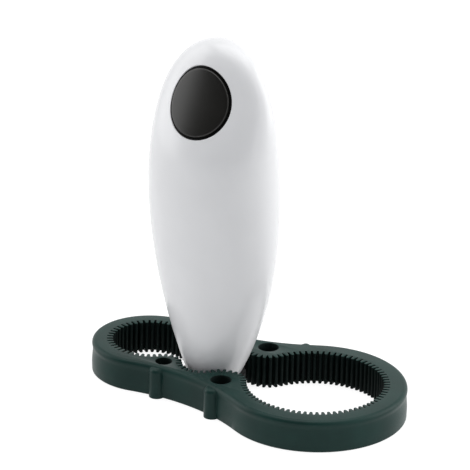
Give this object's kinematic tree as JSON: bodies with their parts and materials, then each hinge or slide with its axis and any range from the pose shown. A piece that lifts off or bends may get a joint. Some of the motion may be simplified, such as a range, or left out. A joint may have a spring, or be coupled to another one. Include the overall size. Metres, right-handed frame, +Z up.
{
  "type": "electric jar opener",
  "caption": "Hand-held battery drive unit with a push button, standing nose down in a toothed rubber grip ring with a large and a small loop.",
  "frame": {"origin": "under the middle of the grip ring, on the surface it lies on", "axes": "+Z up; +X along the ring to its large loop; -Y to the side that the push button faces, which is turned 8.5 degrees towards -X"},
  "size_m": [0.1704, 0.0912, 0.1841],
  "materials": {
    "grip_rubber": "matte, moulded",
    "white_plastic": "polished gloss white",
    "button_plastic": "fine satin black",
    "liner_plastic": "satin black",
    "circuit_laminate": "coated laminate",
    "switch_plastic": "matte",
    "plate_plastic": "matte moulded",
    "gear_plastic": "smooth moulded",
    "hub_rubber": "matte rubber",
    "steel": "plain steel",
    "brass": "plain brass",
    "motor_steel": "plated can",
    "cell_wrap": "printed-free wrap",
    "tray_plastic": "matte moulded",
    "spring_steel": "plated wire",
    "red_sleeve": "soft sleeve",
    "black_sleeve": "soft sleeve"
  },
  "bodies": {
    "ring": {"grip_ring": "grip_rubber"},
    "unit": {"front_shell": "white_plastic", "rear_shell": "white_plastic", "shell_screws": "steel", "button_liner": "liner_plastic", "circuit_board": "circuit_laminate", "board_screws": "steel", "switch_body": "switch_plastic", "lower_gear_plate": "plate_plastic", "upper_gear_plate": "plate_plastic", "gear_pillars": "brass", "plate_screws": "steel", "first_axle": "steel", "second_axle": "steel", "nose_plate": "plate_plastic", "nose_bush": "brass", "shaft_seal": "hub_rubber", "motor_can": "motor_steel", "motor_end_cap": "tray_plastic", "motor_screws": "steel", "battery_tray": "tray_plastic", "left_cell": "cell_wrap", "right_cell": "cell_wrap", "cell_springs": "spring_steel", "contact_plate": "spring_steel", "tray_screws": "steel", "left_lead": "red_sleeve", "right_lead": "black_sleeve"},
    "button": {"button_cap": "button_plastic"},
    "plunger": {"switch_plunger": "gear_plastic"},
    "output": {"output_gear": "gear_plastic", "output_shaft": "steel", "drive_hub": "hub_rubber", "hub_screw": "steel"},
    "second": {"second_gear": "gear_plastic"},
    "first": {"first_gear": "gear_plastic"},
    "rotor": {"motor_shaft": "steel", "motor_pinion": "brass"},
    "cover": {"battery_cover": "white_plastic"}
  },
  "joints": [
    {"name": "unit_lift", "type": "slide", "parent": "ring", "child": "unit", "axis": [0, 0, 1], "range_m": [0, 0.06]},
    {"name": "button_press", "type": "slide", "parent": "unit", "child": "button", "axis": [0.1326, 0.8874, -0.4415], "range_m": [0, 0.0015], "stiffness_N_per_m": 600, "springref_m": -0.0005},
    {"name": "plunger_slide", "type": "slide", "parent": "unit", "child": "plunger", "axis": [0.1326, 0.8874, -0.4415], "range_m": [0, 0.0015]},
    {"name": "output_spin", "type": "hinge", "parent": "unit", "child": "output", "pos_m": [-0.01855, 0, 0.005], "axis": [0, 0, 1], "continuous": true},
    {"name": "second_spin", "type": "hinge", "parent": "unit", "child": "second", "pos_m": [-0.00273, -0.00236, 0.045], "axis": [0, 0, 1], "continuous": true},
    {"name": "first_spin", "type": "hinge", "parent": "unit", "child": "first", "pos_m": [-0.01459, -0.00059, 0.048], "axis": [0, 0, 1], "continuous": true},
    {"name": "motor_spin", "type": "hinge", "parent": "unit", "child": "rotor", "pos_m": [-0.02597, 0.00111, 0.06], "axis": [0, 0, 1], "continuous": true},
    {"name": "cover_slide", "type": "slide", "parent": "unit", "child": "cover", "axis": [0.1478, 0.989, 0], "range_m": [0, 0.03]}
  ],
  "couplings": [
    {"joint": "plunger_slide", "follows": "button_press", "ratio": 1},
    {"joint": "second_spin", "follows": "output_spin", "ratio": -3},
    {"joint": "first_spin", "follows": "output_spin", "ratio": 9},
    {"joint": "motor_spin", "follows": "output_spin", "ratio": -32.4}
  ]
}
